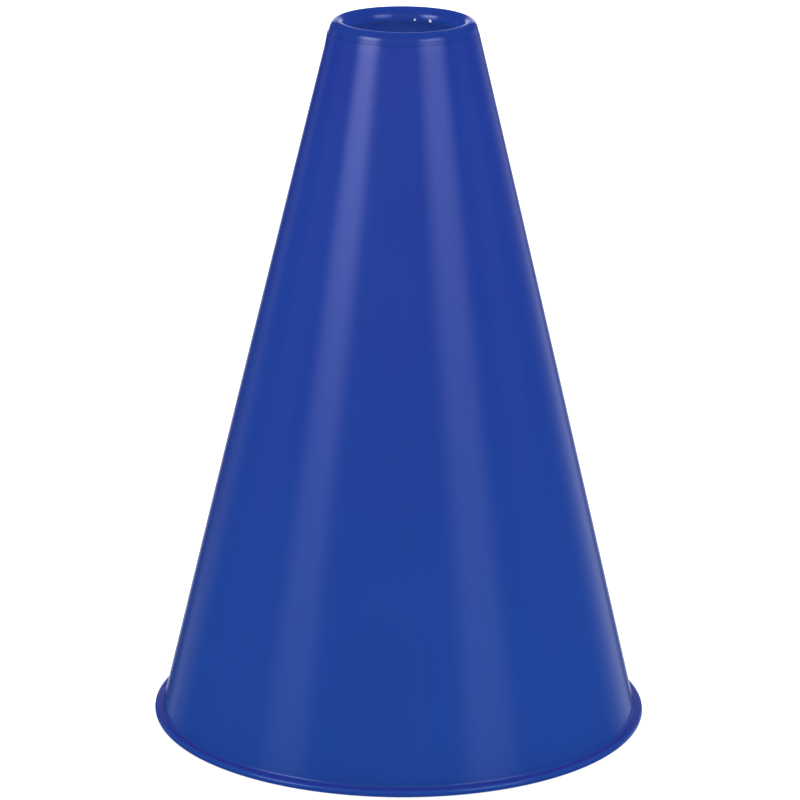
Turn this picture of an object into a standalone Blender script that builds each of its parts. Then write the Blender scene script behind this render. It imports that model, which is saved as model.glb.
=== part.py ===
"""Cheer megaphone: a moulded conical horn with a flanged bell, and a mouthpiece ring snapped into its neck.

The origin is the centre of the bell's rest plane, and +Z runs up through the mouthpiece. Lengths are in metres.
Both pieces are turned shapes: each outline below is a closed loop of (radius, height) points that starts at its
highest outer point and runs down the outer side.
"""

import math

import bpy

# Overall sizes
OVERALL_HEIGHT = 0.2000  # rest plane to the crest of the lip
BELL_RADIUS = 0.06777  # the horn's outer side, carried straight down to the rest plane
NECK_RADIUS = 0.02075  # the horn's outer side at its upper end
WALL = 0.0016  # the horn's wall, measured square to it

# Bell flange
FLANGE_WIDTH = 0.0019  # beyond the horn's outer side at the rest plane
FLANGE_THICKNESS = 0.0020
FLANGE_EDGE_ROUND = 0.0009
FLANGE_FILLET = 0.0008  # between the wall and the flange's upper face
BELL_INNER_ROUND = 0.0005  # the edge where the bore meets the rest plane

# Mouthpiece lip
LIP_HEIGHT = 0.0034  # shoulder to crest
LIP_WIDTH = 0.0050
LIP_SETBACK = 0.00015  # how far the horn's wall stands proud of the lip
LIP_CREST_INSET = 0.0024  # the crest line, in from the lip's outer edge
LIP_ROUND_HEIGHT = 0.0033  # of the outer round, whose foot runs into a side that leans like the wall
UNDERCUT_HEIGHT = 0.0012  # the sloping underside of the lip, inside

# Snap joint between mouthpiece and horn
SEAM_GAP = 0.0003  # between the lip's shoulder and the horn's end face
SPIGOT_CLEARANCE = 0.0003  # radial, between the spigot and the horn's land
SPIGOT_WALL = 0.0013
SPIGOT_TAIL = 0.0007  # the spigot below its bead
LAND_LENGTH = 0.0035  # the cylindrical land that the spigot slides into
LAND_LEAD_IN = 0.0004  # chamfer at the land's mouth
BEAD_HEIGHT = 0.0010
BEAD_CATCH = 0.0002  # how far the bead reaches under the land

# Fineness
TURN_STEPS = 96
ARC_STEPS = 5
LIP_STEPS = 8
MERGE_DISTANCE = 0.00001
SHARP_DEGREES = 35.0

HORN_BLUE = (0.0160, 0.0470, 0.2900, 1.0)
MOUTHPIECE_BLUE = (0.0150, 0.0450, 0.2850, 1.0)
HORN_ROUGHNESS = 0.30
MOUTHPIECE_ROUGHNESS = 0.20


def clear_scene():
    for obj in list(bpy.data.objects):
        bpy.data.objects.remove(obj, do_unlink=True)


def new_collection(name):
    collection = bpy.data.collections.new(name)
    bpy.context.scene.collection.children.link(collection)
    return collection


def plastic(name, colour, roughness):
    material = bpy.data.materials.new(name)
    material.use_nodes = True
    shader = material.node_tree.nodes["Principled BSDF"]
    shader.inputs["Base Color"].default_value = colour
    shader.inputs["Roughness"].default_value = roughness
    shader.inputs["Metallic"].default_value = 0.0
    return material


def arc(centre, radii, start_degrees, end_degrees, steps):
    """Points along an elliptical arc about centre, both ends included. Angles run anticlockwise from +radius."""
    points = []
    for i in range(steps + 1):
        angle = math.radians(start_degrees + (end_degrees - start_degrees) * i / steps)
        points.append((centre[0] + radii[0] * math.cos(angle), centre[1] + radii[1] * math.sin(angle)))
    return points


def round_arc(centre, radius, start_degrees, end_degrees):
    return arc(centre, (radius, radius), start_degrees, end_degrees, ARC_STEPS)


# Heights and radii that both pieces share, worked out once from the driving dimensions.
SHOULDER_Z = OVERALL_HEIGHT - LIP_HEIGHT
HORN_TOP_Z = SHOULDER_Z - SEAM_GAP
TAPER = (BELL_RADIUS - NECK_RADIUS) / HORN_TOP_Z  # radius lost per unit of height
HALF_ANGLE = math.atan(TAPER)
LAND_RADIUS = NECK_RADIUS - WALL / math.cos(HALF_ANGLE)
SPIGOT_RADIUS = LAND_RADIUS - SPIGOT_CLEARANCE
LAND_BOTTOM_Z = HORN_TOP_Z - LAND_LENGTH


def outer_radius(z):
    return BELL_RADIUS - TAPER * z


def bore_radius(z):
    return outer_radius(z) - WALL / math.cos(HALF_ANGLE)


def horn_outline():
    """The wall, its end face, the bell flange with its fillet, and the land that takes the mouthpiece."""
    half_degrees = math.degrees(HALF_ANGLE)
    fillet_z = FLANGE_THICKNESS + FLANGE_FILLET
    fillet_centre = (outer_radius(fillet_z) + FLANGE_FILLET / math.cos(HALF_ANGLE), fillet_z)
    edge_r = BELL_RADIUS + FLANGE_WIDTH - FLANGE_EDGE_ROUND
    bore_edge_r = bore_radius(BELL_INNER_ROUND) + BELL_INNER_ROUND / math.cos(HALF_ANGLE)
    catch_width = bore_radius(LAND_BOTTOM_Z) - LAND_RADIUS

    outline = [(NECK_RADIUS, HORN_TOP_Z)]
    outline += round_arc(fillet_centre, FLANGE_FILLET, 180.0 + half_degrees, 270.0)
    outline += round_arc((edge_r, FLANGE_THICKNESS - FLANGE_EDGE_ROUND), FLANGE_EDGE_ROUND, 90.0, 0.0)
    outline += round_arc((edge_r, FLANGE_EDGE_ROUND), FLANGE_EDGE_ROUND, 0.0, -90.0)
    outline += round_arc((bore_edge_r, BELL_INNER_ROUND), BELL_INNER_ROUND, 270.0, 180.0 + half_degrees)
    outline.append((bore_radius(LAND_BOTTOM_Z - catch_width), LAND_BOTTOM_Z - catch_width))
    outline.append((LAND_RADIUS, LAND_BOTTOM_Z))
    outline.append((LAND_RADIUS, HORN_TOP_Z - LAND_LEAD_IN))
    outline.append((LAND_RADIUS + LAND_LEAD_IN, HORN_TOP_Z))
    return outline


def mouthpiece_outline():
    """A rounded lip, its shoulder over the horn's end, and a spigot with a snap bead below the horn's land."""
    lip_outer = NECK_RADIUS - LIP_SETBACK
    crest_radius = lip_outer - LIP_CREST_INSET
    round_foot_z = OVERALL_HEIGHT - LIP_ROUND_HEIGHT
    reach = LIP_CREST_INSET - TAPER * (round_foot_z - SHOULDER_Z)
    drop = TAPER * LIP_ROUND_HEIGHT
    round_width = math.sqrt(reach * reach - drop * drop)  # makes the round tangent to the leaning side
    round_start = math.degrees(math.atan2(drop, round_width))
    bead_radius = LAND_RADIUS + BEAD_CATCH
    bead_depth = bead_radius - SPIGOT_RADIUS
    bead_z = LAND_BOTTOM_Z - SEAM_GAP - BEAD_HEIGHT / 2
    spigot_bottom_z = bead_z - BEAD_HEIGHT / 2 - SPIGOT_TAIL
    spigot_bore = SPIGOT_RADIUS - SPIGOT_WALL

    outline = arc((crest_radius, round_foot_z), (round_width, LIP_ROUND_HEIGHT), 90.0, round_start, LIP_STEPS)
    outline.append((lip_outer, SHOULDER_Z))
    outline.append((SPIGOT_RADIUS, SHOULDER_Z))
    outline += arc((SPIGOT_RADIUS, bead_z), (bead_depth, BEAD_HEIGHT / 2), 90.0, -90.0, ARC_STEPS + 1)
    outline.append((SPIGOT_RADIUS, spigot_bottom_z))
    outline.append((spigot_bore, spigot_bottom_z))
    outline.append((spigot_bore, SHOULDER_Z - UNDERCUT_HEIGHT))
    inner_radii = (LIP_WIDTH - LIP_CREST_INSET, LIP_HEIGHT)
    outline += arc((crest_radius, SHOULDER_Z), inner_radii, 180.0, 90.0, LIP_STEPS)[:-1]
    return outline


def turn(name, outline, material, collection):
    """Turns a closed outline round Z."""
    mesh = bpy.data.meshes.new(name)
    vertices = [(radius, 0.0, z) for radius, z in outline]
    edges = [(i, (i + 1) % len(vertices)) for i in range(len(vertices))]
    mesh.from_pydata(vertices, edges, [])
    mesh.materials.append(material)
    obj = bpy.data.objects.new(name, mesh)
    collection.objects.link(obj)

    screw = obj.modifiers.new("turn", "SCREW")
    screw.axis = "Z"
    screw.angle = 2.0 * math.pi
    screw.steps = TURN_STEPS
    screw.render_steps = TURN_STEPS
    screw.use_merge_vertices = True
    screw.merge_threshold = MERGE_DISTANCE
    shade_by_angle(obj)
    return obj


def shade_by_angle(obj):
    """Applies the turned surface, then shades its rounds smooth and leaves its corners sharp."""
    depsgraph = bpy.context.evaluated_depsgraph_get()
    turned = bpy.data.meshes.new_from_object(obj.evaluated_get(depsgraph))
    obj.modifiers.clear()
    obj.data = turned
    turned.shade_smooth()
    turned.set_sharp_from_angle(angle=math.radians(SHARP_DEGREES))


def main():
    clear_scene()
    collection = new_collection("cheer_megaphone")
    turn("horn", horn_outline(), plastic("horn_plastic", HORN_BLUE, HORN_ROUGHNESS), collection)
    ring_plastic = plastic("mouthpiece_plastic", MOUTHPIECE_BLUE, MOUTHPIECE_ROUGHNESS)
    turn("mouthpiece", mouthpiece_outline(), ring_plastic, collection)


main()
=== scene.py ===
"""Looks of the cheer megaphone: fine turned surfaces and moulded-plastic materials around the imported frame.

Lengths are in metres, in the frame's own axes: +Z up the horn, the camera on the -Y side.
"""

import math

import bpy
import numpy as np
from mathutils import Matrix, Vector, noise

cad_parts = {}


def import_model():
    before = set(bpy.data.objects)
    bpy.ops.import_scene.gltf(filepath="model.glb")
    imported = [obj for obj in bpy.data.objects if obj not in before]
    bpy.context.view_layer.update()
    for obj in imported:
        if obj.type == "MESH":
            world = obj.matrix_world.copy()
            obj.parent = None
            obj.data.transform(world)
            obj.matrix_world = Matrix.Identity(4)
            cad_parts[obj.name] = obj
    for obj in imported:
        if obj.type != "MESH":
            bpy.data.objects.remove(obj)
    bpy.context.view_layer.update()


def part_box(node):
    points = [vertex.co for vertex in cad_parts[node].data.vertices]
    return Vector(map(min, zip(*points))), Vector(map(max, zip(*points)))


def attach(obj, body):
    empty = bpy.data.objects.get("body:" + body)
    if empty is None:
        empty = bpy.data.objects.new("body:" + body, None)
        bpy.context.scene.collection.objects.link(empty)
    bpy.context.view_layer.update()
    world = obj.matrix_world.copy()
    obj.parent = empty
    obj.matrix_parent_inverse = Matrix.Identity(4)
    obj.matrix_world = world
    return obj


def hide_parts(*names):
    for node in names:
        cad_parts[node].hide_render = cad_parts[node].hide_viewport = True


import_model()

# Places taken from the frame
_, horn_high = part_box("horn")
ring_low, ring_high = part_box("mouthpiece")

# Sizes of the moulding, as the frame's two pieces have them
WALL = 0.0016
FLANGE_WIDTH = 0.0019
FLANGE_THICKNESS = 0.0020
FLANGE_EDGE_ROUND = 0.0009
FLANGE_FILLET = 0.0008
BELL_INNER_ROUND = 0.0005
LIP_HEIGHT = 0.0034
LIP_WIDTH = 0.0050
LIP_SETBACK = 0.00015
LIP_CREST_INSET = 0.0024
LIP_ROUND_HEIGHT = 0.0033
UNDERCUT_HEIGHT = 0.0012
LAND_LENGTH = 0.0035
LAND_LEAD_IN = 0.0004
SPIGOT_CLEARANCE = 0.0003
SPIGOT_WALL = 0.0013
BEAD_HEIGHT = 0.0010
BEAD_CATCH = 0.0002

# Fine shape that only the looks carry
SEAM_SHOWN = 0.00001  # the gap that shows between lip and horn
SEAM_ROUND = 0.00003
LIP_FOOT_ROUND = 0.00003
CROWN = 0.0002  # the wall bows out this far at mid height

# Fineness
TURN_STEPS = 360
WALL_STEPS = 48
EDGE_HOLD = 0.0001  # a row this far in from each end of a wall keeps the rounds' shading off it
ARC_STEPS = 12
SEAM_STEPS = 4
LIP_STEPS = 40
SHARP_DEGREES = 35.0

# The lip's trimmed inner edge wanders
RIPPLE = 0.00006
RIPPLE_REACH = 0.0006
RIPPLE_SLOW = 14.0
RIPPLE_FAST = 41.0
RIPPLE_FAST_SHARE = 0.6

# The flash on the horn's upper edge
FLASH_SWELL = 0.00022
FLASH_HEIGHT = 0.00085
FLASH_REACH_DEGREES = 16.0
FLASH_TOP_SHARE = 0.25  # where along its hump the flash is cut off by the seam

# The two scraps of flash in the mouth: name, place across, width and height
GATE_NIBS = (
    ("gate_nib_a", 0.00305, 0.00068, 0.00055),
    ("gate_nib_b", 0.00735, 0.00080, 0.00085),
)
NIB_RISE = 0.00008  # how far a foot in the middle would stand over the edge
NIB_SLOPE = 0.03  # how much lower the feet are towards the right
NIB_RINGS = 7
NIB_AROUND = 12
NIB_POINT = 0.96  # 1 would close the tip to a point
NIB_FLATNESS = 0.8
NIB_LEAN = 0.35
NIB_RAGGED = 0.30
NIB_RAGGED_AROUND = 3.0
NIB_RAGGED_UP = 4.0
NIB_UNLIKE = 900.0  # sets the two nibs' ragged shapes apart

# Plastic colours: the horn's at the floor and at the crest, the ring's, and the two pale ones painted on the
# torn flash as its glints
HORN_LOW_BLUE = (0.0078, 0.0600, 0.362, 1.0)
HORN_HIGH_BLUE = (0.0115, 0.0385, 0.348, 1.0)
RING_BLUE = (0.0110, 0.0455, 0.325, 1.0)
# painted glint: the flash scraps are painted pale blue to near white so that they show as bright specks of
# light
GLINT_FLASH_BLUE = (0.62, 0.72, 0.95, 1.0)
GLINT_FLASH_WHITE = (0.93, 0.96, 1.00, 1.0)
PLASTIC_IOR = 1.50

# Painted shade and reflection: the crease where the wall meets the flange is painted a darker purple, for the
# dark that its concave fillet mirrors
CREASE_SHADE_LOW = 0.0020
CREASE_SHADE_HIGH = 0.0021
CREASE_SHADE_FADE = 0.0002
CREASE_SHADE_PURPLE = (0.0220, 0.0400, 0.320, 1.0)

# Studio levels and tints
AMBIENT = 1.0
WORLD_FILL = 0.1
WHITE = (1.0, 1.0, 1.0, 1.0)
LAMP_TINT = (1.0, 1.02, 1.45)
CARD_TINT = (1.0, 1.02, 1.35)

# Hidden lights up the bore, with the heights where each starts, has its whole level, and ends
THROAT_LIFT = 3.2
THROAT_TINT = (3.9, 2.35, 1.0)
THROAT_HEIGHTS = (0.030, 0.120, 0.186)
LIP_LIFT = 1.8
LIP_TINT = (0.6, 0.8, 1.2)
LIP_HEIGHTS = (0.190, 0.192, 0.1995)
SOAKED_RADIUS = 0.003

# Floor
FLOOR_LIFT = 0.70  # the light it gives off to the camera
FLOOR_GREY = (0.88, 0.88, 0.88, 1.0)
FLOOR_HALF = 6.0
FLOOR_DROP = 0.00005  # under the flange

# Softboxes: their distance, height and fades
BOX_DISTANCE = 1.20
BOX_LOW = 0.02
BOX_TOP = 1.05
BOX_TOP_FADE = (0.82, 1.0)
BOX_DIM_BELOW = 0.10
BOX_NECK_HEIGHT = 0.45  # what the neck mirrors
BOX_CLIMB_LIMIT = 1.12
BOX_WIDENS = (0.20, 0.50)
BOX_SOFTNESS = (0.35, 0.55)
BOX_LIP_BOOST = 0.95  # more light from what only the lip mirrors
BOX_LIP_HEIGHTS = (0.53, 0.66)

# What the reflection dome shows beyond the softboxes
SURROUND_LEVEL = 0.035
FRONT_LEVEL = 0.20
WINGS_LEVEL = 0.10
PAPER_LEVEL = 0.90
RIGHT_CARD_LEVEL = 0.50
RIGHT_CARD_LOSS = 0.42  # of its level, above its lower part
LEFT_CARD_LEVEL = 0.11
LEFT_STRIP_LEVEL = 0.24

# Domes
REFLECTION_RADIUS = 5.0
MATT_RADIUS = 5.2
DOME_LOW_DEGREES = -60.0

# Camera, at the photo's viewing angle
CAMERA_PLACE = (-0.00027, -1.103, 0.4226)
CAMERA_PITCH = 16.705
CAMERA_ROLL = 0.427
CAMERA_LENS = 184.9
CAMERA_SENSOR = 36.0

bell_radius = horn_high.x - FLANGE_WIDTH
neck_radius = ring_high.x + LIP_SETBACK
mouth_radius = ring_high.x - LIP_WIDTH
shoulder_z = ring_high.z - LIP_HEIGHT
crest_radius = ring_high.x - LIP_CREST_INSET
horn_top_z = shoulder_z - SEAM_SHOWN
taper = (bell_radius - neck_radius) / horn_high.z
half_angle = math.atan(taper)
wall_across = WALL / math.cos(half_angle)
land_radius = neck_radius - wall_across
land_bottom_z = horn_high.z - LAND_LENGTH
spigot_radius = land_radius - SPIGOT_CLEARANCE


# ---------------------------------------------------------------- outlines

def outer_radius(z):
    share = z / horn_high.z
    return bell_radius - taper * z + 4.0 * CROWN * share * (1.0 - share)


def bore_radius(z):
    return outer_radius(z) - wall_across


def arc(centre, radii, start_degrees, end_degrees, steps):
    points = []
    for i in range(steps + 1):
        angle = math.radians(start_degrees + (end_degrees - start_degrees) * i / steps)
        points.append((centre[0] + radii[0] * math.cos(angle), centre[1] + radii[1] * math.sin(angle)))
    return points


def round_arc(centre, radius, start_degrees, end_degrees, steps=ARC_STEPS):
    return arc(centre, (radius, radius), start_degrees, end_degrees, steps)


def along_wall(radius_at, start_z, end_z):
    """Points between two heights, both left out, on a wall whose radius follows radius_at."""
    hold = math.copysign(EDGE_HOLD, end_z - start_z)
    heights = [start_z + hold, *np.linspace(start_z, end_z, WALL_STEPS)[1:-1], end_z - hold]
    return [(radius_at(float(z)), float(z)) for z in heights]


def horn_outline():
    """Down the outer side from the seam, round the flange, and up the bore to the land."""
    lean = math.degrees(half_angle)
    fillet_z = FLANGE_THICKNESS + FLANGE_FILLET
    fillet_centre = (outer_radius(fillet_z) + FLANGE_FILLET / math.cos(half_angle), fillet_z)
    edge_r = horn_high.x - FLANGE_EDGE_ROUND
    bore_edge_r = bore_radius(BELL_INNER_ROUND) + BELL_INNER_ROUND / math.cos(half_angle)
    catch_width = bore_radius(land_bottom_z) - land_radius
    catch_z = land_bottom_z - catch_width
    end_round = (outer_radius(horn_top_z) - SEAM_ROUND, horn_top_z - SEAM_ROUND)

    outline = round_arc(end_round, SEAM_ROUND, 90.0, lean, SEAM_STEPS)
    outline += along_wall(outer_radius, end_round[1], fillet_z)
    outline += round_arc(fillet_centre, FLANGE_FILLET, 180.0 + lean, 270.0)
    outline += round_arc((edge_r, FLANGE_THICKNESS - FLANGE_EDGE_ROUND), FLANGE_EDGE_ROUND, 90.0, 0.0)
    outline += round_arc((edge_r, FLANGE_EDGE_ROUND), FLANGE_EDGE_ROUND, 0.0, -90.0)
    outline += round_arc((bore_edge_r, BELL_INNER_ROUND), BELL_INNER_ROUND, 270.0, 180.0 + lean)
    outline += along_wall(bore_radius, BELL_INNER_ROUND, catch_z)
    outline.append((bore_radius(catch_z), catch_z))
    outline.append((land_radius, land_bottom_z))
    outline.append((land_radius, horn_top_z - LAND_LEAD_IN))
    outline.append((land_radius + LAND_LEAD_IN, horn_top_z))
    return outline


def mouthpiece_outline():
    """Down the lip's outer round and leaning side, then the spigot with its bead, and up to the crest."""
    round_foot_z = ring_high.z - LIP_ROUND_HEIGHT
    reach = LIP_CREST_INSET - taper * (round_foot_z - shoulder_z)
    drop = taper * LIP_ROUND_HEIGHT
    round_width = math.sqrt(reach * reach - drop * drop)
    round_start = math.degrees(math.atan2(drop, round_width))
    inner_radii = (LIP_WIDTH - LIP_CREST_INSET, LIP_HEIGHT)
    bead_depth = land_radius + BEAD_CATCH - spigot_radius
    bead_z = land_bottom_z - (shoulder_z - horn_high.z) - BEAD_HEIGHT / 2
    spigot_bore = spigot_radius - SPIGOT_WALL

    outline = arc((crest_radius, round_foot_z), (round_width, LIP_ROUND_HEIGHT), 90.0, round_start, LIP_STEPS)
    outline.append((ring_high.x - taper * LIP_FOOT_ROUND, shoulder_z + LIP_FOOT_ROUND))
    outline.append((ring_high.x - LIP_FOOT_ROUND, shoulder_z))
    outline.append((spigot_radius, shoulder_z))
    outline += arc((spigot_radius, bead_z), (bead_depth, BEAD_HEIGHT / 2), 90.0, -90.0, ARC_STEPS)
    outline.append((spigot_radius, ring_low.z))
    outline.append((spigot_bore, ring_low.z))
    outline.append((spigot_bore, shoulder_z - UNDERCUT_HEIGHT))
    outline += arc((crest_radius, shoulder_z), inner_radii, 180.0, 90.0, LIP_STEPS)[:-1]
    return outline


# ---------------------------------------------------------------- meshes

def add_mesh(name, vertices, faces):
    """A smooth-shaded mesh object in the scene."""
    mesh = bpy.data.meshes.new(name)
    mesh.from_pydata(vertices, [], faces)
    mesh.shade_smooth()
    obj = bpy.data.objects.new(name, mesh)
    bpy.context.scene.collection.objects.link(obj)
    return obj


def turned(name, outline):
    """A closed outline turned round Z, as one closed mesh with its faces pointing out."""
    rows = len(outline)
    vertices = []
    for step in range(TURN_STEPS):
        angle = 2.0 * math.pi * step / TURN_STEPS
        vertices += [(r * math.cos(angle), r * math.sin(angle), z) for r, z in outline]
    faces = []
    for step in range(TURN_STEPS):
        here = step * rows
        there = (step + 1) % TURN_STEPS * rows
        for i in range(rows):
            j = (i + 1) % rows
            faces.append((here + i, here + j, there + j, there + i))
    obj = add_mesh(name, vertices, faces)
    obj.data.set_sharp_from_angle(angle=math.radians(SHARP_DEGREES))
    return obj


def ripple_mouth_edge(obj):
    """The lip's inner edge is a trimmed one, so it wanders slightly in height and radius."""
    for vertex in obj.data.vertices:
        radius = math.hypot(vertex.co.x, vertex.co.y)
        away = math.hypot(radius - mouth_radius, vertex.co.z - shoulder_z)
        if away > RIPPLE_REACH:
            continue
        direction = Vector((vertex.co.x, vertex.co.y, 0.0)) / radius
        wander = noise.noise(direction * RIPPLE_SLOW)
        wander += RIPPLE_FAST_SHARE * noise.noise(direction * RIPPLE_FAST)
        amount = RIPPLE * wander * (1.0 - away / RIPPLE_REACH)
        vertex.co += direction * amount
        vertex.co.z += amount


def raise_flash(obj):
    """A small swell of flash on the horn's upper edge, on the left as the photo shows it."""
    for vertex in obj.data.vertices:
        radius = math.hypot(vertex.co.x, vertex.co.y)
        below = horn_top_z - vertex.co.z
        if below > FLASH_HEIGHT or radius < neck_radius - WALL / 2:
            continue
        turned_by = math.degrees(math.atan2(vertex.co.y, -vertex.co.x)) / FLASH_REACH_DEGREES
        along_hump = FLASH_TOP_SHARE + (1.0 - FLASH_TOP_SHARE) * below / FLASH_HEIGHT
        swell = FLASH_SWELL * math.exp(-turned_by * turned_by) * math.sin(math.pi * along_hump)
        vertex.co.x *= 1.0 + swell / radius
        vertex.co.y *= 1.0 + swell / radius


def gate_nib(name, x, width, height):
    """A torn-off scrap of flash, painted pale as a glint, that stands on the lip's inner edge, on the far
    side from the camera.
    """
    y = math.sqrt(mouth_radius * mouth_radius - x * x)
    foot = Vector((x, y, shoulder_z + NIB_RISE - NIB_SLOPE * x))
    inward = Vector((-x, -y, 0.0)).normalized()
    across = Vector((-inward.y, inward.x, 0.0))
    up = Vector((0.0, 0.0, 1.0))
    vertices = []
    for ring in range(NIB_RINGS):
        rise = ring / (NIB_RINGS - 1)
        girth = width / 2 * math.sqrt(1.0 - NIB_POINT * rise * rise)
        for k in range(NIB_AROUND):
            turn = 2.0 * math.pi * k / NIB_AROUND
            ragged_at = Vector((math.cos(turn), math.sin(turn), 0.0)) * NIB_RAGGED_AROUND
            ragged_at.z = NIB_RAGGED_UP * rise + x * NIB_UNLIKE
            swell = 1.0 + NIB_RAGGED * noise.noise(ragged_at)
            out = inward * (girth * NIB_FLATNESS * math.cos(turn) * swell + NIB_LEAN * height * rise)
            side = across * (girth * math.sin(turn) * swell)
            vertices.append(foot + out + side + up * (height * rise))
    top = (NIB_RINGS - 1) * NIB_AROUND
    faces = [tuple(reversed(range(NIB_AROUND))), tuple(range(top, top + NIB_AROUND))]
    for low in range(0, top, NIB_AROUND):
        for k in range(NIB_AROUND):
            here = low + k
            there = low + (k + 1) % NIB_AROUND
            faces.append((here, there, there + NIB_AROUND, here + NIB_AROUND))
    return add_mesh(name, vertices, faces)


def finish_piece(obj, slot, material, *nodes):
    """Gives a piece its material and body, and hides the frame's nodes that it stands for."""
    obj.data.materials.append(material)
    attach(obj, "root")
    if nodes:
        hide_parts(*nodes)


# ---------------------------------------------------------------- materials

class Graph:
    """Adds nodes to a material with short calls."""

    def __init__(self, material):
        material.use_nodes = True
        self.tree = material.node_tree
        self.shader = self.tree.nodes["Principled BSDF"]

    def node(self, kind, **settings):
        made = self.tree.nodes.new(kind)
        for key, value in settings.items():
            setattr(made, key, value)
        return made

    def link(self, source, target):
        self.tree.links.new(source, target)

    def math(self, operation, a, b=0.0):
        made = self.node("ShaderNodeMath", operation=operation)
        for socket, value in zip(made.inputs, (a, b)):
            self.feed(socket, value)
        return made.outputs[0]

    def feed(self, socket, value):
        if isinstance(value, bpy.types.NodeSocket):
            self.link(value, socket)
        else:
            socket.default_value = value

    def noise(self, vector, scale, detail=3.0, roughness=0.5):
        made = self.node("ShaderNodeTexNoise")
        made.inputs["Scale"].default_value = scale
        made.inputs["Detail"].default_value = detail
        made.inputs["Roughness"].default_value = roughness
        self.link(vector, made.inputs["Vector"])
        return made.outputs["Fac"]

    def ramp(self, value, low, high, to_low=0.0, to_high=1.0):
        made = self.node("ShaderNodeMapRange", interpolation_type="SMOOTHSTEP")
        self.feed(made.inputs["Value"], value)
        limits = {"From Min": low, "From Max": high, "To Min": to_low, "To Max": to_high}
        for key, number in limits.items():
            made.inputs[key].default_value = number
        return made.outputs["Result"]

    def mix(self, share, a, b):
        made = self.node("ShaderNodeMix", data_type="RGBA")
        self.feed(made.inputs["Factor"], share)
        colours_in = [socket for socket in made.inputs if socket.type == "RGBA"]
        self.feed(colours_in[0], a)
        self.feed(colours_in[1], b)
        return next(socket for socket in made.outputs if socket.type == "RGBA")

    def bump(self, height, distance, normal=None):
        made = self.node("ShaderNodeBump")
        made.inputs["Strength"].default_value = 1.0
        made.inputs["Distance"].default_value = distance
        self.link(height, made.inputs["Height"])
        if normal is not None:
            self.link(normal, made.inputs["Normal"])
        return made.outputs["Normal"]


def around_and_up(graph, around, up):
    """A coordinate that runs round the horn without a join, the height, and the plain object coordinate.

    The first is the radial direction times around, with the height times up.
    """
    place = graph.node("ShaderNodeTexCoord").outputs["Object"]
    split = graph.node("ShaderNodeSeparateXYZ")
    graph.link(place, split.inputs[0])
    flat = graph.node("ShaderNodeCombineXYZ")
    graph.link(split.outputs["X"], flat.inputs["X"])
    graph.link(split.outputs["Y"], flat.inputs["Y"])
    unit = graph.node("ShaderNodeVectorMath", operation="NORMALIZE")
    graph.link(flat.outputs[0], unit.inputs[0])
    apart = graph.node("ShaderNodeSeparateXYZ")
    graph.link(unit.outputs[0], apart.inputs[0])
    joined = graph.node("ShaderNodeCombineXYZ")
    graph.link(graph.math("MULTIPLY", apart.outputs["X"], around), joined.inputs["X"])
    graph.link(graph.math("MULTIPLY", apart.outputs["Y"], around), joined.inputs["Y"])
    graph.link(graph.math("MULTIPLY", split.outputs["Z"], up), joined.inputs["Z"])
    return joined.outputs[0], split.outputs["Z"], place


def shade_of(colour, factor):
    return tuple(factor * c for c in colour[:3]) + (1.0,)


def plastic_colour(graph, low_blue, high_blue, lines, mottle, height):
    """The two blues blended up the horn, darker along draw lines, lighter in clouds, and painted purple shade
    in the crease.
    """
    body = graph.mix(graph.ramp(height, 0.0, ring_high.z), low_blue, high_blue)
    streaks = graph.ramp(lines, 0.35, 0.75, to_high=0.30)
    streaked = graph.mix(streaks, body, shade_of(low_blue, 0.90))
    clouds = graph.ramp(mottle, 0.40, 0.75, to_high=0.35)
    clouded = graph.mix(clouds, streaked, shade_of(low_blue, 1.12))
    # painted shade: a band round the crease just above the flange is mixed toward a darker purple
    above = graph.ramp(height, CREASE_SHADE_LOW - CREASE_SHADE_FADE, CREASE_SHADE_LOW)
    below = graph.ramp(height, CREASE_SHADE_HIGH, CREASE_SHADE_HIGH + CREASE_SHADE_FADE, to_low=1.0, to_high=0.0)
    return graph.mix(graph.math("MULTIPLY", above, below), clouded, CREASE_SHADE_PURPLE)


def moulded_plastic(name, low_blue, high_blue, roughness, spread, grain, peel):
    """Pigmented polyolefin off a polished mould: draw lines up the wall, faint smudges, hair scratches.

    spread is how far the roughness varies. grain and peel are the depths of draw lines and orange peel.
    """
    line_waves, line_rise = 55.0, 6.0
    fine_waves, fine_rise = 190.0, 25.0
    fine_share = 0.4
    smudge_scale, mottle_scale, peel_scale = 38.0, 14.0, 420.0
    scratch_roughness, scratch_depth = 0.12, 0.000006

    material = bpy.data.materials.new(name)
    graph = Graph(material)
    lines_at, height, place = around_and_up(graph, line_waves, line_rise)
    lines = graph.noise(lines_at, scale=1.0, detail=4.0, roughness=0.62)
    fine_at, _, _ = around_and_up(graph, fine_waves, fine_rise)
    fine = graph.noise(fine_at, scale=1.0, detail=2.0)
    smudge = graph.noise(place, smudge_scale, detail=4.0, roughness=0.6)
    mottle = graph.noise(place, mottle_scale, detail=2.0)
    coloured = plastic_colour(graph, low_blue, high_blue, lines, mottle, height)
    graph.link(coloured, graph.shader.inputs["Base Color"])

    scratches = hair_scratches(graph, place)
    uneven = graph.math("ADD", graph.math("MULTIPLY", lines, spread), graph.math("MULTIPLY", smudge, spread))
    rough = graph.math("ADD", uneven, roughness - spread)
    rough = graph.math("ADD", rough, graph.math("MULTIPLY", scratches, scratch_roughness))
    graph.link(rough, graph.shader.inputs["Roughness"])

    orange_peel = graph.noise(place, peel_scale, detail=2.0)
    normal = graph.bump(orange_peel, peel)
    normal = graph.bump(lines, grain, normal)
    normal = graph.bump(fine, grain * fine_share, normal)
    normal = graph.bump(graph.math("SUBTRACT", 1.0, scratches), scratch_depth, normal)
    graph.link(normal, graph.shader.inputs["Normal"])

    shader = graph.shader
    shader.inputs["IOR"].default_value = PLASTIC_IOR
    shader.inputs["Subsurface Weight"].default_value = 0.06
    shader.inputs["Subsurface Radius"].default_value = (0.15, 0.4, 1.0)
    shader.inputs["Subsurface Scale"].default_value = 0.0012
    return material


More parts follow.
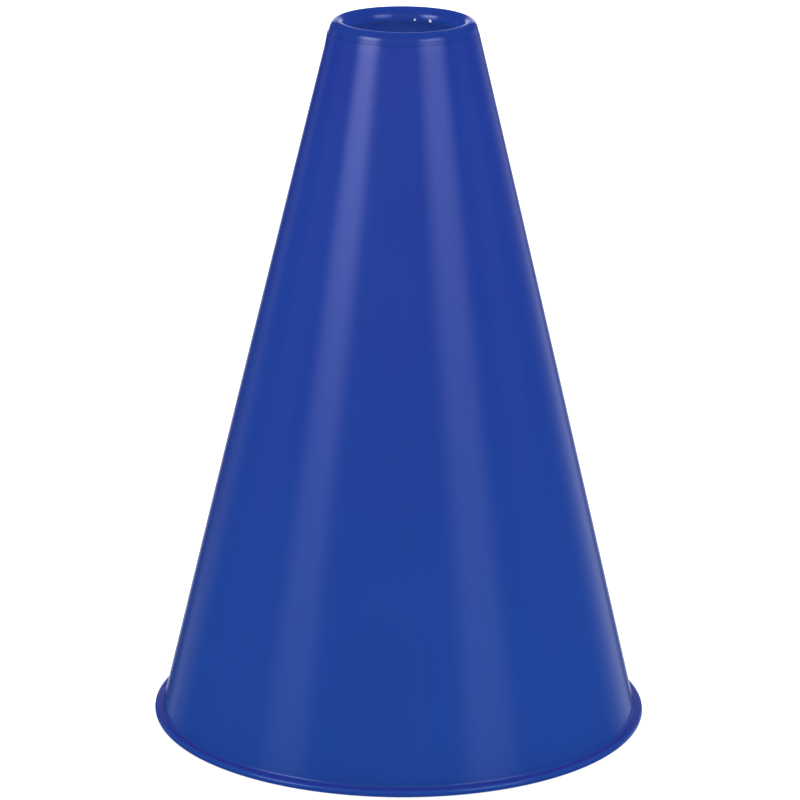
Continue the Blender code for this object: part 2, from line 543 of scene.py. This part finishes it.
def glint_pale_flash(name):
    """Painted glint: pale blue to near white, blotched and slightly waxy, so that the flash shows as bright
    specks.
    """
    blotch_scale, blotch_depth = 2600.0, 0.00002
    material = bpy.data.materials.new(name)
    graph = Graph(material)
    place = graph.node("ShaderNodeTexCoord").outputs["Object"]
    blotch = graph.ramp(graph.noise(place, blotch_scale, roughness=0.6), 0.30, 0.70)
    # painted glint: the pale blue and near white stand in for the bright specks of light on the flash
    body = graph.mix(blotch, GLINT_FLASH_BLUE, GLINT_FLASH_WHITE)
    graph.link(body, graph.shader.inputs["Base Color"])
    waxy = graph.ramp(blotch, 0.0, 1.0, to_low=0.25, to_high=0.45)
    graph.link(waxy, graph.shader.inputs["Roughness"])
    graph.link(graph.bump(blotch, blotch_depth), graph.shader.inputs["Normal"])
    graph.shader.inputs["IOR"].default_value = PLASTIC_IOR
    return material


def hair_scratches(graph, place):
    """Thin, sparse, slightly curved lines: where a warped noise crosses one value, in scattered patches."""
    line_half_width = 0.0016
    patch_fineness = 1.7
    total = None
    for turn, scale in ((0.0, 26.0), (1.3, 33.0)):
        mapping = graph.node("ShaderNodeMapping")
        mapping.inputs["Rotation"].default_value = (turn, 0.7 * turn, 0.4)
        mapping.inputs["Location"].default_value = (turn, 0.2, 0.1)
        graph.link(place, mapping.inputs["Vector"])
        wander = graph.noise(mapping.outputs[0], scale, detail=1.0, roughness=0.4)
        near = graph.math("ABSOLUTE", graph.math("SUBTRACT", wander, 0.5))
        line = graph.ramp(near, 0.0, line_half_width, to_low=1.0, to_high=0.0)
        patches = graph.noise(mapping.outputs[0], scale * patch_fineness, detail=1.0)
        line = graph.math("MULTIPLY", line, graph.ramp(patches, 0.66, 0.76))
        total = line if total is None else graph.math("MAXIMUM", total, line)
    return total


# ---------------------------------------------------------------- studio

def smooth(value, low, high):
    """0 below low, 1 above high, and a smooth rise between them."""
    share = min(1.0, max(0.0, (value - low) / (high - low)))
    return share * share * (3.0 - 2.0 * share)


def fade(value, low, high):
    """1 below low, 0 above high, and a smooth fall between them."""
    return 1.0 - smooth(value, low, high)


def band(value, low, high, soft):
    """1 between low and high, and fading to 0 over soft on either side."""
    return smooth(value, low - soft, low) * fade(value, high, high + soft)


def glowing(name, columns, rows, place, brightness, tint, sampled=True):
    """A lamp surface on a grid: place gives each point, brightness its strength.

    A surface that fills the surroundings isn't sampled as a lamp, because the rays find it anyway.
    """
    vertices = [place(c, r) for c in columns for r in rows]
    levels = [brightness(c, r) for c in columns for r in rows]
    high = len(rows)
    faces = []
    for i in range(len(columns) - 1):
        for j in range(high - 1):
            corner = i * high + j
            faces.append((corner, corner + 1, corner + high + 1, corner + high))
    mesh = bpy.data.meshes.new(name)
    mesh.from_pydata(vertices, [], faces)
    mesh.attributes.new("glow", "FLOAT", "POINT").data.foreach_set("value", levels)

    material = bpy.data.materials.new(name)
    material.use_nodes = True
    tree = material.node_tree
    tree.nodes.clear()
    level = tree.nodes.new("ShaderNodeAttribute")
    level.attribute_name = "glow"
    emission = tree.nodes.new("ShaderNodeEmission")
    emission.inputs["Color"].default_value = tint + (1.0,)
    out = tree.nodes.new("ShaderNodeOutputMaterial")
    tree.links.new(level.outputs["Fac"], emission.inputs["Strength"])
    tree.links.new(emission.outputs[0], out.inputs["Surface"])
    if not sampled:
        material.cycles.emission_sampling = "NONE"
    mesh.materials.append(material)

    obj = bpy.data.objects.new(name, mesh)
    bpy.context.scene.collection.objects.link(obj)
    obj.visible_camera = False
    obj.visible_shadow = False
    return obj


def on_cylinder(radius, degrees, z):
    """A point round the Z axis, at an azimuth from the camera's side, plus to the right."""
    angle = math.radians(degrees)
    return (radius * math.sin(angle), -radius * math.cos(angle), z)


def on_sphere(radius, azimuth, elevation):
    """A point in a direction given in degrees, with the azimuth as on_cylinder has it."""
    rise = math.radians(elevation)
    return on_cylinder(radius * math.cos(rise), azimuth, radius * math.sin(rise))


def softbox(name, azimuth, half_widths, levels):
    """A tall light beside the camera, at an azimuth in degrees.

    half_widths and levels each give the value near the floor and the value at the height the neck mirrors.
    """
    def place(degrees, z):
        return on_cylinder(BOX_DISTANCE, degrees, z)

    def brightness(degrees, z):
        climb = (z - BOX_DIM_BELOW) / (BOX_NECK_HEIGHT - BOX_DIM_BELOW)
        climb = min(BOX_CLIMB_LIMIT, max(0.0, climb))
        level = levels[0] + (levels[1] - levels[0]) * climb * climb
        level *= 1.0 + BOX_LIP_BOOST * smooth(z, *BOX_LIP_HEIGHTS)
        widened = smooth(z, *BOX_WIDENS)
        half_width = half_widths[0] + (half_widths[1] - half_widths[0]) * widened
        softness = BOX_SOFTNESS[0] + (BOX_SOFTNESS[1] - BOX_SOFTNESS[0]) * widened
        across = abs(degrees - azimuth) / half_width
        return level * fade(across, 1.0 - softness, 1.0 + softness) * fade(z, *BOX_TOP_FADE)

    reach = 1.6 * max(half_widths)
    columns = [float(c) for c in np.linspace(azimuth - reach, azimuth + reach, 41)]
    rows = [float(r) for r in np.linspace(BOX_LOW, BOX_TOP, 45)]
    lamp = glowing(name, columns, rows, place, brightness, LAMP_TINT)
    lamp.visible_diffuse = False


def studio_glow(azimuth, elevation):
    """What the glossy surfaces see of the studio beyond the softboxes, by direction in degrees."""
    away = abs(azimuth)
    low_down = smooth(elevation, -42.0, -28.0) * fade(elevation, 4.0, 14.0)

    front = FRONT_LEVEL * smooth(elevation, 7.0, 17.0) * fade(away, 50.0, 80.0)
    front *= fade(elevation, 30.0, 60.0)
    wings = WINGS_LEVEL * band(away, 84.0, 98.0, 10.0) * smooth(elevation, -2.0, 5.0)
    wings *= fade(elevation, 12.0, 30.0)
    paper = PAPER_LEVEL * smooth(away, 162.0, 168.0) * fade(elevation, 10.0, 20.0)
    right_card = RIGHT_CARD_LEVEL * smooth(azimuth, 116.0, 156.0) * fade(azimuth, 151.0, 157.0)
    right_card *= low_down * (1.0 - RIGHT_CARD_LOSS * smooth(elevation, -8.0, -3.0))
    left_card = LEFT_CARD_LEVEL * band(-azimuth, 129.0, 138.0, 5.0) * low_down
    left_strip = LEFT_STRIP_LEVEL * band(-azimuth, 141.0, 146.0, 4.0)
    left_strip *= low_down * fade(elevation, -12.5, -9.0)
    return SURROUND_LEVEL + front + wings + paper + right_card + left_card + left_strip


def dome(name, radius, azimuth_step, elevation_step, brightness, tint):
    """A lamp surface all round, from below the horizon to straight up."""
    def place(azimuth, elevation):
        return on_sphere(radius, azimuth, elevation)

    azimuths = [float(a) for a in np.arange(-180.0, 180.0 + azimuth_step / 2, azimuth_step)]
    elevations = [float(e) for e in np.arange(DOME_LOW_DEGREES, 90.0 + elevation_step / 2, elevation_step)]
    return glowing(name, azimuths, elevations, place, brightness, tint, sampled=False)


def reflection_dome():
    """Everything that the plastic mirrors apart from the softboxes, seen by glossy rays alone."""
    lamp = dome("reflection_dome", REFLECTION_RADIUS, 1.5, 2.0, studio_glow, CARD_TINT)
    lamp.visible_diffuse = False
    lamp.visible_transmission = False


def matt_glow(azimuth, elevation):
    """Even light for the matt part of every surface, a little stronger from the sides, the back and above."""
    from_sides = 0.30 * smooth(abs(azimuth), 50.0, 110.0)
    from_above = 0.60 * smooth(elevation, 35.0, 85.0)
    return AMBIENT * (0.82 + from_sides + from_above)


def matt_dome():
    """The light behind matt_glow, unseen by glossy rays."""
    lamp = dome("matt_dome", MATT_RADIUS, 12.0, 10.0, matt_glow, WHITE[:3])
    lamp.visible_glossy = False


def soaked_light(name, heights, level, tint):
    """Stands in for the light that soaks through the thin wall: a hidden column up the axis."""
    low, full, high = heights

    def place(degrees, z):
        return on_cylinder(SOAKED_RADIUS, degrees, z)

    def brightness(_, z):
        return level * smooth(z, low, full)

    columns = [-30.0 * i for i in range(13)]  # clockwise, so that the faces point away from the axis
    rows = [float(r) for r in np.linspace(low, high, 12)]
    lamp = glowing(name, columns, rows, place, brightness, tint)
    lamp.visible_glossy = False


def floor():
    """A pale sweep a hair under the flange. It can't be seen from below, where a view looks into the bell."""
    signs = ((-1.0, -1.0), (1.0, -1.0), (1.0, 1.0), (-1.0, 1.0))
    corners = [(x * FLOOR_HALF, y * FLOOR_HALF, -FLOOR_DROP) for x, y in signs]
    mesh = bpy.data.meshes.new("floor")
    mesh.from_pydata(corners, [], [(0, 1, 2, 3)])
    material = bpy.data.materials.new("floor_white")
    material.use_nodes = True
    tree = material.node_tree
    shader = tree.nodes["Principled BSDF"]
    shader.inputs["Base Color"].default_value = FLOOR_GREY
    shader.inputs["Roughness"].default_value = 0.9
    shader.inputs["Specular IOR Level"].default_value = 0.0
    shader.inputs["Emission Color"].default_value = WHITE
    path = tree.nodes.new("ShaderNodeLightPath")
    strength = tree.nodes.new("ShaderNodeMath")
    strength.operation = "MULTIPLY"
    strength.inputs[1].default_value = FLOOR_LIFT
    tree.links.new(path.outputs["Is Camera Ray"], strength.inputs[0])
    tree.links.new(strength.outputs[0], shader.inputs["Emission Strength"])
    through = tree.nodes.new("ShaderNodeBsdfTransparent")
    choose = tree.nodes.new("ShaderNodeMixShader")
    side = tree.nodes.new("ShaderNodeNewGeometry")
    tree.links.new(side.outputs["Backfacing"], choose.inputs[0])
    tree.links.new(shader.outputs[0], choose.inputs[1])
    tree.links.new(through.outputs[0], choose.inputs[2])
    tree.links.new(choose.outputs[0], tree.nodes["Material Output"].inputs["Surface"])
    mesh.materials.append(material)
    obj = bpy.data.objects.new("floor", mesh)
    bpy.context.scene.collection.objects.link(obj)
    obj.visible_glossy = False


def world():
    """A faint fill for the matt rays that pass under the dome, and plain view settings."""
    made = bpy.data.worlds.new("studio")
    scene = bpy.context.scene
    scene.world = made
    made.use_nodes = True
    background = made.node_tree.nodes["Background"]
    background.inputs["Color"].default_value = WHITE
    background.inputs["Strength"].default_value = WORLD_FILL
    made.cycles_visibility.glossy = False
    scene.view_settings.view_transform = "Standard"
    scene.view_settings.look = "None"


def studio():
    """All the lights, the floor and the world."""
    softbox("softbox_left", azimuth=-55.0, half_widths=(10.3, 15.0), levels=(0.48, 2.35))
    softbox("softbox_right", azimuth=44.5, half_widths=(11.5, 17.7), levels=(0.50, 1.36))
    reflection_dome()
    matt_dome()
    soaked_light("throat_light", THROAT_HEIGHTS, THROAT_LIFT, THROAT_TINT)
    soaked_light("lip_light", LIP_HEIGHTS, LIP_LIFT, LIP_TINT)
    floor()
    world()


def camera():
    """A long lens at the photo's viewing angle, rolled by the little that the object leans there."""
    pitch, roll = math.radians(CAMERA_PITCH), math.radians(CAMERA_ROLL)
    forward = Vector((0.0, math.cos(pitch), -math.sin(pitch)))
    up = Vector((0.0, math.sin(pitch), math.cos(pitch)))
    right = Vector((1.0, 0.0, 0.0))
    x_axis = math.cos(roll) * right + math.sin(roll) * up
    y_axis = math.cos(roll) * up - math.sin(roll) * right
    turned_to = Matrix((x_axis, y_axis, -forward)).transposed().to_4x4()
    data = bpy.data.cameras.new("camera")
    data.lens = CAMERA_LENS
    data.sensor_width = CAMERA_SENSOR
    obj = bpy.data.objects.new("camera", data)
    bpy.context.scene.collection.objects.link(obj)
    obj.matrix_world = Matrix.Translation(CAMERA_PLACE) @ turned_to
    bpy.context.scene.camera = obj


# ---------------------------------------------------------------- the object

horn = turned("horn_shell", horn_outline())
raise_flash(horn)
horn_plastic = moulded_plastic(
    "horn_plastic_looks", HORN_LOW_BLUE, HORN_HIGH_BLUE,
    roughness=0.20, spread=0.04, grain=0.000002, peel=0.000003,
)
finish_piece(horn, "horn_plastic", horn_plastic, "horn")

mouthpiece = turned("mouthpiece_ring", mouthpiece_outline())
ripple_mouth_edge(mouthpiece)
ring_plastic = moulded_plastic(
    "mouthpiece_plastic_looks", RING_BLUE, RING_BLUE,
    roughness=0.16, spread=0.03, grain=0.000001, peel=0.000002,
)
finish_piece(mouthpiece, "mouthpiece_plastic", ring_plastic, "mouthpiece")

# the nibs get the painted glint colours
nib_glint_plastic = glint_pale_flash("gate_nib_glint_looks")
for nib in GATE_NIBS:
    finish_piece(gate_nib(*nib), "mouthpiece_plastic", nib_glint_plastic)

camera()
studio()
